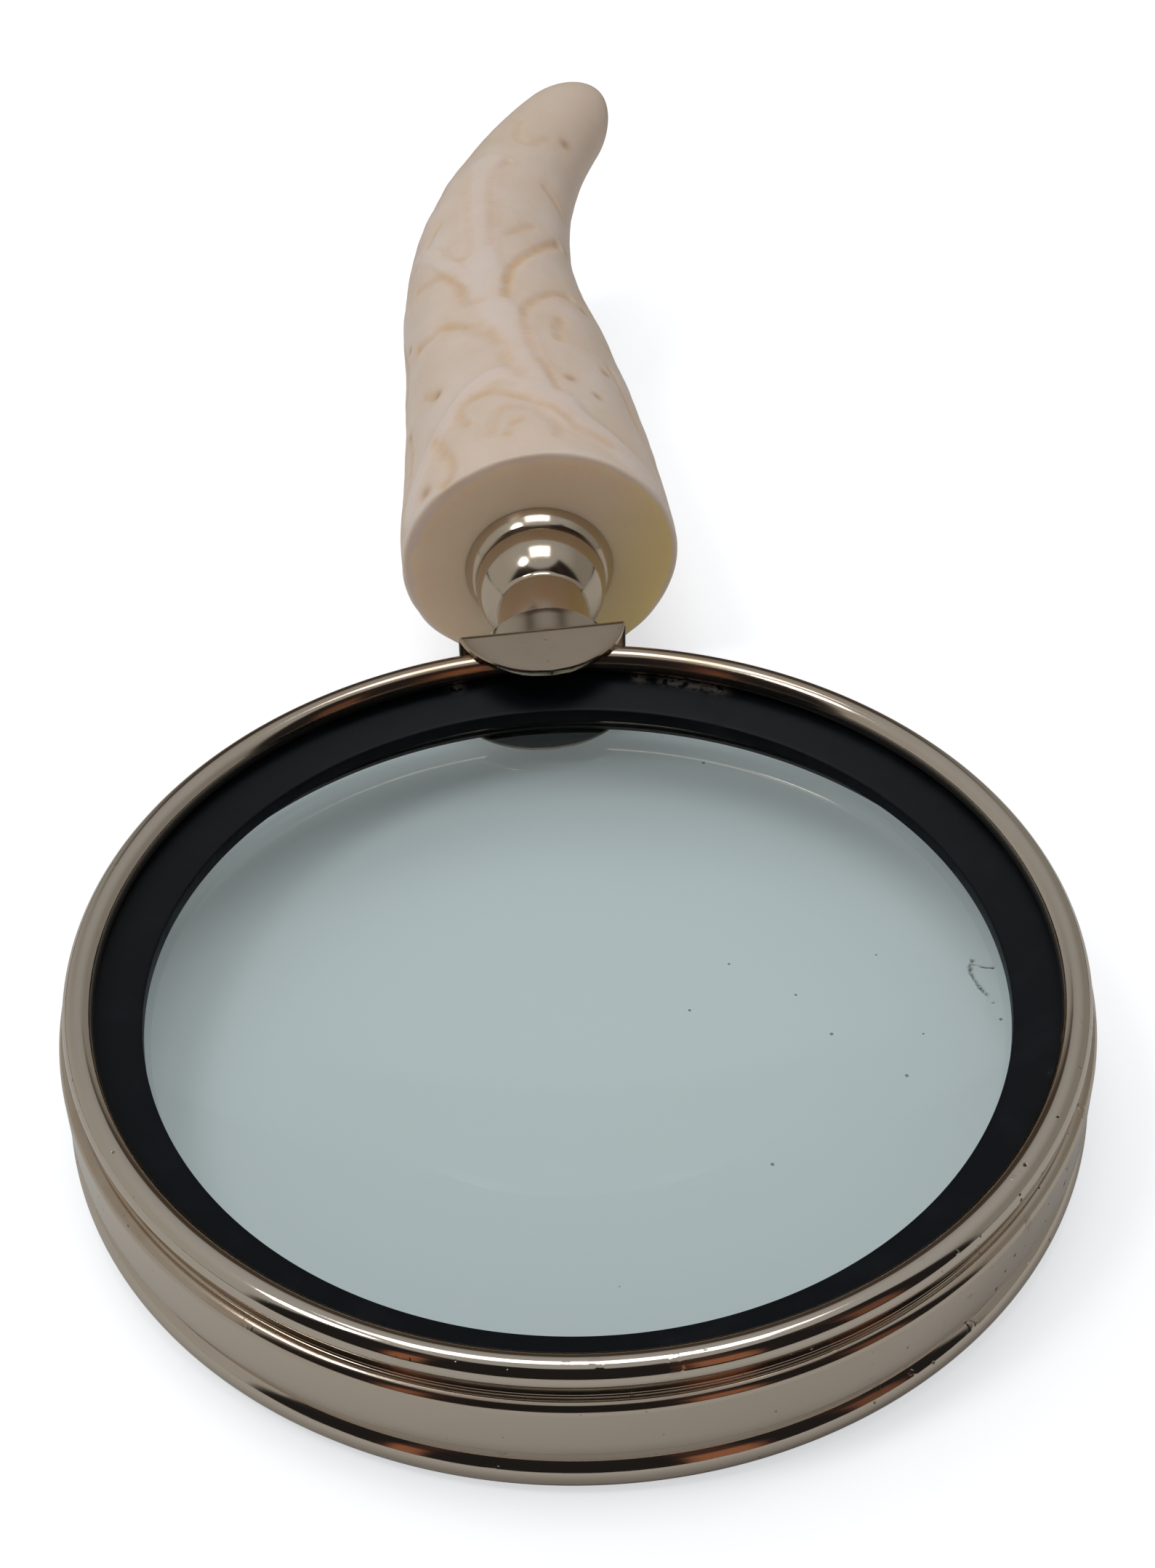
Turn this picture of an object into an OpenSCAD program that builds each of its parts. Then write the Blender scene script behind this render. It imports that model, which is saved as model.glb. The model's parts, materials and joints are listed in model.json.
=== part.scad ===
// Desk hand lens: a plated rim holds a thick glass between two black rings, and a
// clip on the rim carries a turned ferrule and a horn-shaped handle.
// The part lies as it does on a table, touching it with the front of the rim and
// the underside of the handle's root. +Y runs towards the handle's tip.
// Shapes are drawn in the lens's own frame first: Z along the lens axis, z = 0 at
// the top of the rim. resting() then tips them on to the table.

/* [Rim] */
// Radius of the bore that holds the glass
rim_bore_r = 51; // [50.8:0.1:51.2]
// Radius of the plain band round the rim
band_r = 53.7; // [53.5:0.1:54.5]
// Height of the rim
rim_h = 16.7; // [16.4:0.1:17.6]
// Radius of the bead round the top edge
top_bead_r = 1.6; // [1.4:0.1:1.8]
// Radius of the bead round the bottom edge
foot_bead_r = 2; // [1.8:0.1:2.1]
// Radius of the hollow under the top bead
hollow_r = 52.3; // [52.1:0.1:52.6]
// Width of the lip turned in at the bottom edge
lip_w = 1.5; // [1:0.1:2]
// Thickness of that lip
lip_t = 1; // [0.8:0.1:1.2]

/* [Glass] */
// Radius of the glass at its edge
glass_r = 50.8; // [50.4:0.1:50.8]
// Thickness of the glass at its edge
glass_edge_t = 2; // [1.5:0.1:2.4]
// Radius of both ground faces
glass_curve_r = 260; // [240:5:320]
// Radius of the clear opening in the black ring
clear_r = 45.2; // [44.5:0.1:46]
// Radius of the opening in the seat under the glass
seat_r = 49; // [48:0.1:49.5]

/* [Clip] */
// Radius of the half-moon plates
clip_r = 10.2; // [9.8:0.1:10.8]
// Thickness of the clip's sheet
clip_t = 0.8; // [0.6:0.1:0.8]
// Distance from the lens axis to the clip's outer face
clip_face_y = 54.6; // [54.6:0.1:55]
// Depth of the half-moon plates
clip_depth = 8.7; // [8:0.1:9.2]
// Turn of the clip round the rim, degrees
clip_turn = 5; // [0:0.5:6]
// Slide of the clip along its own face
clip_slide = 4; // [0:0.5:4.5]

/* [Ferrule] */
// Radius of the collar against the clip
collar_r = 8.6; // [8.2:0.1:8.7]
// Distance from the lens axis to the collar's far end
collar_end_y = 59.4; // [59:0.1:60]
// Radius of the neck
neck_r = 5.9; // [5.4:0.1:6.4]
// Radius of the dome
dome_r = 8.4; // [8:0.1:8.8]
// Radius of the bulged rim against the handle
flange_r = 9.7; // [9.4:0.1:10.2]
// Radius of its near edge
flange_near_r = 8.7; // [8.4:0.1:9.2]
// Thickness of that rim
flange_t = 2.6; // [2.2:0.1:3]
// Radius of the screw that ties the parts together
screw_r = 2.5; // [2:0.1:2.6]
// Radius of the screw's countersunk head
head_r = 3.9; // [3.6:0.1:4.2]

/* [Handle] */
// Distance from the lens axis to the handle's flat face
root_y = 79.2; // [78.5:0.1:80]
// Width of the handle at its root
root_w = 36.9; // [35:0.1:39]
// Height of the handle at its root
root_h = 34.5; // [33:0.1:36]
// Length of the handle along its curve
handle_len = 118; // [110:1:125]
// Share of the root's size left at the tip, before it rounds off
tip_share = 0.33; // [0.3:0.01:0.4]
// Power of the taper
taper = 1.25; // [1.1:0.05:1.5]
// Length of the rounded tip
tip_round = 10.5; // [9:0.5:13]
// Length of the first bend, to the left
sway_len = 51; // [46:1:56]
// Angle of the first bend, degrees
sway = 7; // [4:0.5:8]
// Heading of the tip, degrees to the right
hook = 39.5; // [30:0.5:42]
// Rise of the tip over the root
rise = 10.5; // [6:0.5:12]
// Radius of the root's edge
root_edge = 0.9; // [0.5:0.1:1.5]
// Radius of the threaded insert
insert_r = 4.5; // [4:0.1:5]
// Length of the threaded insert
insert_len = 20; // [16:1:24]

/* [Hidden] */
$fn = 180;

// Clearance round a part that sits in a bore
slip = 0.05;
// Height of the glass's middle plane, which is also the axis of the ferrule
glass_z = -8.4;
// Height of the middle of the handle's root
handle_z = -7.2;
glass_sag = glass_curve_r - sqrt(pow(glass_curve_r, 2) - pow(glass_r, 2));
clip_inner_y = clip_face_y - clip_t;
// Where the screw's countersunk head starts, and its height
sink_y = clip_inner_y - 0.2;
sink_h = 1;

// The rim's section: bead, hollow, cove, shoulder, band, groove and foot bead. The bead
// stands proud of the bore, over the black ring
bead_c = [rim_bore_r + 0.3, -top_bead_r];
bead_start = 360 - acos((rim_bore_r - bead_c[0]) / top_bead_r);
bead_end = -acos((hollow_r - bead_c[0]) / top_bead_r);
cove_r = 0.3;
shoulder_r = 1.1;
shoulder_z = -4;
shoulder_start = 82;
band_foot_z = -10.9;
groove_slope = 0.3;
groove_r = band_r - 0.8;
foot_c = [band_r + 0.2 - foot_bead_r, foot_bead_r - rim_h];
foot_start = acos((groove_r - foot_c[0]) / foot_bead_r);

// The sections of the rings over and under the glass
cone_top_z = -3.25;
cone_foot_z = -4.7;
sleeve_t = 0.95;
sleeve_top_z = -12.2;
seat_t = 1.2;
// Height of the glass's front face at a radius, over its middle plane
function glass_top(r) =
    glass_edge_t / 2 + glass_sag - glass_curve_r + sqrt(pow(glass_curve_r, 2) - pow(r, 2));

// Points of an arc round c, from angle a0 to a1
function arc(c, r, a0, a1, n = 12) =
    [for (i = [0 : n]) let (a = a0 + (a1 - a0) * i / n) c + r * [cos(a), sin(a)]];

// The handle's centre line is two tangent arcs, seen from above
sway_r = sway_len * 180 / PI / sway;
hook_r = (handle_len - sway_len) * 180 / PI / (hook + sway);
function heading(s) =
    s < sway_len ? -sway * s / sway_len
    : -sway + (hook + sway) * (s - sway_len) / (handle_len - sway_len);
function centre_x(s) =
    s < sway_len ? -sway_r * (1 - cos(heading(s)))
    : -sway_r * (1 - cos(sway)) + hook_r * (cos(sway) - cos(heading(s)));
function centre_y(s) =
    root_y + (s < sway_len ? -sway_r * sin(heading(s))
    : sway_r * sin(sway) + hook_r * (sin(heading(s)) + sin(sway)));
function centre_z(s) = handle_z + rise * pow(s / handle_len, 1.5);

// Share of the root's size at s: the taper, the rounded tip and the root's edge
function girth(s) =
    let (
        tip = max(0, (s - handle_len + tip_round) / tip_round),
        edge = max(0, 1 - s / root_edge)
    )
    (1 - (1 - tip_share) * pow(s / handle_len, taper)) * sqrt(1 - tip * tip)
    - 2 * root_edge / root_w * (1 - sqrt(1 - edge * edge));

function handle_point(s, a) =
    let (h = heading(s), across = girth(s) * root_w / 2 * cos(a), up = girth(s) * root_h / 2 * sin(a))
    [centre_x(s) + across * cos(h), centre_y(s) - across * sin(h), centre_z(s) + up];

// Stations along the handle, closer together where it rounds
edge_steps = 3;
body_steps = 26;
tip_steps = 7;
sides = 48;
stations = concat(
    [for (i = [0 : edge_steps]) root_edge * (1 - cos(90 * i / edge_steps))],
    [for (i = [1 : body_steps])
        root_edge + (handle_len - tip_round - root_edge) * i / body_steps],
    [for (i = [1 : tip_steps - 1]) handle_len - tip_round * (1 - sin(90 * i / tip_steps))]
);
rings = len(stations);
skin = [for (s = stations) for (k = [0 : sides - 1]) handle_point(s, 360 * k / sides)];
tip_point = handle_point(handle_len, 0);

// Tilt that brings a point of the handle and the front of the rim to one height
function tilt_for(p) =
    let (dy = p[1] + foot_c[0], dz = p[2] - foot_c[1])
    -atan2(dz, dy) - asin(foot_bead_r / norm([dy, dz]));
tilt = max([for (p = skin) tilt_for(p)]);
lift = foot_bead_r + foot_c[0] * sin(tilt) - foot_c[1] * cos(tilt);
function tipped_y(p) = p[1] * cos(tilt) - p[2] * sin(tilt);
front_y = tipped_y([0, shoulder_r - band_r, shoulder_z - shoulder_r]) - shoulder_r;
tip_y = max([for (p = skin) tipped_y(p)]);
mid_y = (front_y + tip_y) / 2;

// Lays the lens's frame on the table, its middle over the origin
module resting() {
    translate([0, -mid_y, lift]) rotate([tilt, 0, 0]) children();
}

// Turns a child's +Z on to the ferrule's axis, starting at a distance from the lens axis
module along_axis(y) {
    translate([0, y, glass_z]) rotate([-90, 0, 0]) children();
}

// Moves a child with the clip, which sits a little askew on the rim
module with_clip() {
    rotate([0, 0, clip_turn]) translate([clip_slide, 0, 0]) children();
}

// Everything from the given face of the clip inwards or outwards
module clip_side(y, outwards) {
    reach = 40;
    with_clip()
        translate([-reach / 2, outwards ? y : y - reach, glass_z - reach / 2])
            cube(reach);
}

// A tube of revolution along the ferrule's axis, from its outline of [radius, height]
module turned(y, outline) {
    resting() along_axis(y) rotate_extrude() polygon(outline);
}

// Plated rim
module lens_frame() {
    color("silver") resting() rotate_extrude() polygon(concat(
        arc(bead_c, top_bead_r, bead_start, bead_end, 24),
        arc([hollow_r + cove_r, shoulder_z + cove_r], cove_r, 180, 270, 4),
        arc([band_r - shoulder_r, shoulder_z - shoulder_r], shoulder_r, shoulder_start, 0, 8),
        [[band_r, band_foot_z], [groove_r, band_foot_z - groove_slope]],
        arc(foot_c, foot_bead_r, foot_start, -90),
        [[rim_bore_r - lip_w, -rim_h], [rim_bore_r - lip_w, lip_t - rim_h],
         [rim_bore_r, lip_t - rim_h]]
    ));
}

// Sloped black ring over the glass
module retaining_ring() {
    outer_r = rim_bore_r - slip;
    color("#1c1d1f") resting() rotate_extrude() polygon([
        [clear_r, glass_z + glass_top(clear_r) + slip],
        [glass_r, glass_z + glass_top(glass_r) + slip],
        [outer_r, glass_z + glass_top(glass_r) + slip],
        [outer_r, cone_top_z],
        [clear_r, cone_foot_z]
    ]);
}

// Plated sleeve that carries the glass on the rim's lip
module seat_ring() {
    outer_r = rim_bore_r - slip;
    inner_r = outer_r - sleeve_t;
    seat_z = glass_z - glass_top(seat_r) - slip;
    color("silver") resting() rotate_extrude() polygon([
        [seat_r, seat_z],
        [glass_r, glass_z - glass_top(glass_r) - slip],
        [outer_r, glass_z - glass_top(glass_r) - slip],
        [outer_r, lip_t - rim_h],
        [inner_r, lip_t - rim_h],
        [inner_r, sleeve_top_z],
        [seat_r, seat_z - seat_t]
    ]);
}

// Biconvex glass with a ground edge
module lens() {
    face_steps = 24;
    front = [for (i = [0 : face_steps])
        let (r = glass_r * i / face_steps) [r, glass_z + glass_top(r)]];
    back = [for (i = [face_steps : -1 : 0])
        let (r = glass_r * i / face_steps) [r, glass_z - glass_top(r)]];
    color("lightblue", 0.4) resting() rotate_extrude() polygon(concat(front, back));
}

// Sheet clip that grips the rim above and below
module saddle() {
    web_x = 30;
    color("silver") resting() difference() {
        with_clip() intersection() {
            translate([0, clip_face_y - clip_depth + clip_r, -rim_h - clip_t])
                cylinder(r = clip_r, h = rim_h + 2 * clip_t);
            union() {
                translate([-web_x / 2, clip_inner_y, -rim_h - clip_t])
                    cube([web_x, clip_t, rim_h + 2 * clip_t]);
                for (z = [0, -rim_h - clip_t])
                    translate([-web_x / 2, clip_inner_y - clip_r, z])
                        cube([web_x, clip_r + clip_t / 2, clip_t]);
            }
        }
        along_axis(clip_inner_y - clip_t) cylinder(r = screw_r + slip, h = 4 * clip_t);
        along_axis(sink_y) cylinder(r1 = head_r + slip, r2 = screw_r + slip, h = sink_h);
    }
}

// Countersunk screw from inside the clip into the handle
module tie_screw() {
    shank_y = sink_y + sink_h - 0.1;
    end_y = root_y + insert_len - 3;
    color("gray") resting() {
        difference() {
            along_axis(sink_y) cylinder(r1 = head_r, r2 = screw_r, h = sink_h);
            clip_side(clip_inner_y, false);
        }
        along_axis(shank_y) cylinder(r = screw_r, h = end_y - shank_y);
    }
}

// Plain collar, its near end cut to the clip's face
module collar() {
    start_y = clip_inner_y - clip_t;
    color("silver") resting() difference() {
        along_axis(start_y) difference() {
            cylinder(r = collar_r, h = collar_end_y - start_y);
            translate([0, 0, -1])
                cylinder(r = screw_r + slip, h = collar_end_y - start_y + 2);
        }
        clip_side(clip_face_y, false);
    }
}

// Turned neck and dome
module ferrule() {
    flange_y = root_y - flange_t;
    dome_h = flange_y - collar_end_y;
    land = 0.6;
    centre_h = dome_h - land;
    bore_r = screw_r + slip;
    color("silver") turned(collar_end_y, concat(
        [[bore_r, 0], [neck_r, 0]],
        arc([0, centre_h], dome_r, asin(neck_r / dome_r) - 90, 0, 16),
        [[dome_r, centre_h + land * 0.5], [dome_r - land * 0.5, dome_h], [bore_r, dome_h]]
    ));
}

// Bulged rim between the dome and the handle's face
module ferrule_rim() {
    bulge_r = 7;
    chamfer = 0.3;
    near = [flange_near_r, chamfer];
    far = [flange_r, flange_t];
    half_chord = norm(far - near) / 2;
    slope = atan2(far[1] - near[1], far[0] - near[0]);
    half_turn = asin(half_chord / bulge_r);
    centre = (near + far) / 2 + bulge_r * cos(half_turn) * [-sin(slope), cos(slope)];
    bore_r = screw_r + slip;
    color("silver") turned(root_y - flange_t, concat(
        [[bore_r, 0], [flange_near_r - chamfer, 0]],
        arc(centre, bulge_r, slope - 90 - half_turn, slope - 90 + half_turn),
        [[bore_r, flange_t]]
    ));
}

// Grooved brass bush bonded into the handle
module handle_insert() {
    grooves = 4;
    groove_d = 0.5;
    pitch = insert_len / grooves;
    bore_r = screw_r + slip;
    color("goldenrod") turned(root_y, concat(
        [[bore_r, 0]],
        [for (i = [0 : grooves - 1]) each [
            [insert_r, pitch * i],
            [insert_r, pitch * (i + 0.6)],
            [insert_r - groove_d, pitch * (i + 0.7)],
            [insert_r - groove_d, pitch * (i + 0.9)]
        ]],
        [[insert_r, insert_len], [bore_r, insert_len]]
    ));
}

// Horn-shaped handle: one skin swept along the centre line, with a blind bore
module handle() {
    bore_h = insert_len + 1;
    last = (rings - 1) * sides;
    color("ivory") resting() difference() {
        polyhedron(
            points = concat(skin, [tip_point]),
            faces = concat(
                [[for (k = [0 : sides - 1]) k]],
                [for (i = [0 : rings - 2]) for (k = [0 : sides - 1])
                    let (a = i * sides + k, b = i * sides + (k + 1) % sides)
                    each [[a, a + sides, b + sides], [a, b + sides, b]]],
                [for (k = [0 : sides - 1]) [last + k, rings * sides, last + (k + 1) % sides]]
            ),
            convexity = 4
        );
        along_axis(root_y - 1) cylinder(r = insert_r + slip, h = bore_h + 1);
    }
}

lens_frame();
retaining_ring();
seat_ring();
lens();
saddle();
tie_screw();
collar();
ferrule();
ferrule_rim();
handle_insert();
handle();
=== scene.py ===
"""The looks of a desk hand lens: a plated rim with a thick glass, a turned ferrule and a
carved horn-shaped handle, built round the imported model.

Every shape is drawn in millimetres in the lens's own frame, as in the part: Z along the lens
axis, z = 0 at the top of the rim, +Y towards the handle. place() takes it to the row frame.
"""

import json
import math

import bmesh
import bpy
import numpy as np
from mathutils import Matrix, Vector, noise


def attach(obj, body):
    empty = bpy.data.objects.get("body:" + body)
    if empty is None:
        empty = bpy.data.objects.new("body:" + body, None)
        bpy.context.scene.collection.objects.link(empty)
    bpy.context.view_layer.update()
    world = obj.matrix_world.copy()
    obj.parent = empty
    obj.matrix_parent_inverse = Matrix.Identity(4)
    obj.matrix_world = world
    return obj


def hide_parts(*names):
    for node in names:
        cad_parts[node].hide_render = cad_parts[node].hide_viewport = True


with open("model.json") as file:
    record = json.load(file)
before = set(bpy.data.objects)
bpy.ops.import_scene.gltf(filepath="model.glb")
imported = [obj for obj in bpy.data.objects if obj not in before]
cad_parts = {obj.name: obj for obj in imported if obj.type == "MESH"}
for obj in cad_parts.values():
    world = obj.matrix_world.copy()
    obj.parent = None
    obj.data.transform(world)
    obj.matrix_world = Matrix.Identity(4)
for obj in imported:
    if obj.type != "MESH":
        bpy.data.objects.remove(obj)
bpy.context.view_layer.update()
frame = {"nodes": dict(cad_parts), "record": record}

# ---------------------------------------------------------------- sizes, as in the part, in mm

MM = 0.001

RIM_BORE_R = 51.0
BAND_R = 53.7
RIM_H = 16.7
TOP_BEAD_R = 1.6
FOOT_BEAD_R = 2.0
HOLLOW_R = 52.3
LIP_W = 1.5
LIP_T = 1.0
COVE_R = 0.3
SHOULDER_R = 1.1
SHOULDER_Z = -4.0
SHOULDER_START = 82
BAND_FOOT_Z = -10.9
GROOVE_DEPTH = 0.8
GROOVE_SLOPE = 0.3

GLASS_R = 50.8
GLASS_EDGE_T = 2.0
GLASS_CURVE_R = 260.0
GLASS_Z = -8.4
CLEAR_R = 45.2
CONE_TOP_Z = -3.25
CONE_FOOT_Z = -4.7
SEAT_R = 49.0
SEAT_T = 1.2
SLEEVE_T = 0.95
SLEEVE_TOP_Z = -12.2
SLIP = 0.05

CLIP_R = 10.2
CLIP_T = 0.8
CLIP_FACE_Y = 54.6
CLIP_DEPTH = 8.7
CLIP_TURN = 5
CLIP_SLIDE = 4

COLLAR_R = 8.6
COLLAR_END_Y = 59.4
NECK_R = 5.9
DOME_R = 8.4
DOME_LAND = 0.6
FLANGE_R = 9.7
FLANGE_NEAR_R = 8.7
FLANGE_T = 2.6
BULGE_R = 7.0
BORE_R = 2.55

ROOT_Y = 79.2
ROOT_W = 36.9
ROOT_H = 34.5
HANDLE_Z = -7.2
HANDLE_LEN = 118.0
TIP_SHARE = 0.33
TAPER = 1.25
TIP_ROUND = 10.5
SWAY_LEN = 51.0
SWAY = 7.0
HOOK = 39.5
RISE = 10.5
ROOT_EDGE = 0.9
INSERT_BORE_R = 4.55
INSERT_BORE_H = 21.0

# ---------------------------------------------------------------- the row frame

cradle = next(m for m in frame["record"]["mounts"] if m["name"] == "rim_cradle")
lens_axis = np.array(cradle["axis"])
TILT = math.asin(-lens_axis[1])
TURN = np.array([[1, 0, 0], [0, math.cos(TILT), -math.sin(TILT)], [0, math.sin(TILT), math.cos(TILT)]])
RIM_TOP = np.array(cradle["pos_m"]) + RIM_H / 2 * MM * lens_axis


def place(points):
    """Points in the lens's frame in mm, taken to the row frame in metres."""
    return np.asarray(points, float) @ TURN.T * MM + RIM_TOP


# ---------------------------------------------------------------- small helpers


def smooth(low, high, x):
    """0 below low, 1 above high, and an S-curve between. With low over high it runs back."""
    t = np.clip((np.asarray(x, float) - low) / (high - low), 0, 1)
    return t * t * (3 - 2 * t)


def arc(centre, radius, start, end, steps):
    """Points of an arc round centre, from angle start to end in degrees."""
    angles = np.radians(np.linspace(start, end, steps + 1))
    return [(centre[0] + radius * math.cos(a), centre[1] + radius * math.sin(a)) for a in angles]


def line(a, b, steps):
    """Points from a to b, without b."""
    return [(a[0] + (b[0] - a[0]) * i / steps, a[1] + (b[1] - a[1]) * i / steps) for i in range(steps)]


def wobble(points, scale, seed):
    """Smooth noise from -1 to 1 at each point, with lumps about scale across."""
    shift = Vector((seed * 17.3, seed * 5.1, seed * 9.7))
    return np.array([noise.noise(Vector(p) / scale + shift) for p in points])


def curve_through(points, gap):
    """A smooth line through points, sampled about every gap: Catmull-Rom in the points' plane."""
    p = np.array([points[0], *points, points[-1]], float)
    samples = []
    for i in range(1, len(p) - 2):
        count = max(2, int(np.linalg.norm(p[i + 1] - p[i]) / gap))
        for t in np.arange(count) / count:
            samples.append(
                0.5
                * (
                    2 * p[i]
                    + (p[i + 1] - p[i - 1]) * t
                    + (2 * p[i - 1] - 5 * p[i] + 4 * p[i + 1] - p[i + 2]) * t**2
                    + (3 * p[i] - p[i - 1] - 3 * p[i + 1] + p[i + 2]) * t**3
                )
            )
    samples.append(p[-1])
    return np.array(samples)


def add_object(name, data):
    """A new object with its data, linked to the scene."""
    made = bpy.data.objects.new(name, data)
    bpy.context.scene.collection.objects.link(made)
    return made


def make_piece(name, points, faces, material, node, values=None, sharp=35):
    """A mesh piece from points in the lens's frame, with a number per point for each value."""
    mesh = bpy.data.meshes.new(name)
    mesh.from_pydata(place(points).tolist(), [], faces)
    for key, numbers in (values or {}).items():
        numbers = np.asarray(numbers, np.float32)
        kind = "FLOAT_VECTOR" if numbers.ndim == 2 else "FLOAT"
        field = "vector" if numbers.ndim == 2 else "value"
        mesh.attributes.new(key, kind, "POINT").data.foreach_set(field, numbers.ravel())
    work = bmesh.new()
    work.from_mesh(mesh)
    bmesh.ops.recalc_face_normals(work, faces=work.faces)
    work.to_mesh(mesh)
    work.free()
    mesh.shade_smooth()
    mesh.set_sharp_from_angle(angle=math.radians(sharp))
    mesh.materials.append(material)
    piece = add_object(name, mesh)
    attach(piece, "root")
    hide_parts(node)
    return piece


def on_lens_axis(r, h, angle):
    """A point of a turned piece on the lens axis, at radius r and height h."""
    return np.stack([r * np.cos(angle), r * np.sin(angle), h + 0 * angle], -1)


def on_ferrule_axis(r, h, angle):
    """A point of a turned piece on the ferrule's axis, at radius r and distance h."""
    return np.stack([r * np.cos(angle), h + 0 * angle, GLASS_Z + r * np.sin(angle)], -1)


def turned(outline, steps, on_axis):
    """Points, faces and a seamless coordinate of a closed outline turned round an axis.
    An outline's point on the axis stays one point."""
    angle = np.linspace(0, 2 * np.pi, steps, endpoint=False)
    outline = np.array(outline, float)
    run = np.concatenate([[0], np.cumsum(np.linalg.norm(np.diff(outline, axis=0), axis=1))])
    points, wraps, rings = [], [], []
    for (r, h), along in zip(outline, run):
        count = 1 if r < 1e-6 else steps
        start = len(points)
        ring = angle[:count]
        points += on_axis(r, h, ring).tolist()
        wraps += np.stack([np.cos(ring), np.sin(ring), np.full(count, along)], -1).tolist()
        rings.append([start + k % count for k in range(steps)])
    closed = outline[0][0] > 1e-6
    faces = []
    for i in range(len(rings) - 1 + closed):
        a, b = rings[i], rings[(i + 1) % len(rings)]
        for k in range(steps):
            m = (k + 1) % steps
            corners = dict.fromkeys((a[k], a[m], b[m], b[k]))
            faces.append(tuple(corners))
    return np.array(points), faces, np.array(wraps)


# ---------------------------------------------------------------- materials


class Paint:
    """A node tree of a material or the world, and short ways to add nodes to it."""

    def __init__(self, tree):
        self.tree = tree

    def node(self, kind, **settings):
        made = self.tree.nodes.new(kind)
        for key, value in settings.items():
            setattr(made, key, value)
        return made

    def feed(self, socket, value):
        if isinstance(value, bpy.types.NodeSocket):
            self.tree.links.new(value, socket)
        elif hasattr(value, "__len__") and len(value) == 3 and socket.type == "RGBA":
            socket.default_value = (*value, 1)
        else:
            socket.default_value = value

    def math(self, operation, a, b=0.0, clamp=False):
        made = self.node("ShaderNodeMath", operation=operation, use_clamp=clamp)
        self.feed(made.inputs[0], a)
        self.feed(made.inputs[1], b)
        return made.outputs[0]

    def times(self, a, b, clamp=False):
        return self.math("MULTIPLY", a, b, clamp)

    def vector(self, operation, a, b):
        made = self.node("ShaderNodeVectorMath", operation=operation)
        self.feed(made.inputs[0], a)
        self.feed(made.inputs[1], b)
        return made.outputs[0]

    def ramp(self, value, low, high, start=0.0, end=1.0):
        """start below low, end above high, with an S-curve between. low may be over high."""
        made = self.node("ShaderNodeMapRange", interpolation_type="SMOOTHSTEP")
        for socket, number in zip(made.inputs, (value, low, high, start, end)):
            self.feed(socket, number)
        return made.outputs[0]

    def mix(self, share, a, b):
        made = self.node("ShaderNodeMix", data_type="RGBA")
        self.feed(made.inputs["Factor"], share)
        self.feed(made.inputs[6], a)
        self.feed(made.inputs[7], b)
        return made.outputs[2]

    def attribute(self, name, output="Fac"):
        return self.node("ShaderNodeAttribute", attribute_name=name).outputs[output]

    def place(self):
        return self.node("ShaderNodeTexCoord").outputs["Object"]

    def noise(self, vector, scale, detail=2.0, roughness=0.5):
        made = self.node("ShaderNodeTexNoise")
        self.feed(made.inputs["Vector"], vector)
        for key, value in zip(
            ("Scale", "Detail", "Roughness"), (scale, detail, roughness)
        ):
            made.inputs[key].default_value = value
        return made.outputs["Fac"]

    def cells(self, vector, scale, randomness=1.0):
        made = self.node("ShaderNodeTexVoronoi")
        self.feed(made.inputs["Vector"], vector)
        made.inputs["Scale"].default_value = scale
        made.inputs["Randomness"].default_value = randomness
        return made.outputs["Distance"]

    def bump(self, height, depth, under=None):
        """A bump of a height from 0 to 1, depth metres high."""
        made = self.node("ShaderNodeBump")
        made.inputs["Distance"].default_value = depth
        self.feed(made.inputs["Height"], height)
        if under is not None:
            self.feed(made.inputs["Normal"], under)
        return made.outputs[0]


def dress(paint, shader, colour, rough, normal):
    """Feeds a shader its colour, roughness and normal."""
    for key, value in (("Base Color", colour), ("Roughness", rough), ("Normal", normal)):
        paint.feed(shader.inputs[key], value)


def new_material(name, **constants):
    """A material, its Paint and its shader, with the shader's plain values set."""
    material = bpy.data.materials.new(name)
    material.use_nodes = True
    paint = Paint(material.node_tree)
    shader = material.node_tree.nodes["Principled BSDF"]
    for key, value in constants.items():
        paint.feed(shader.inputs[key.replace("_", " ")], value)
    return material, paint, shader


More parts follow.
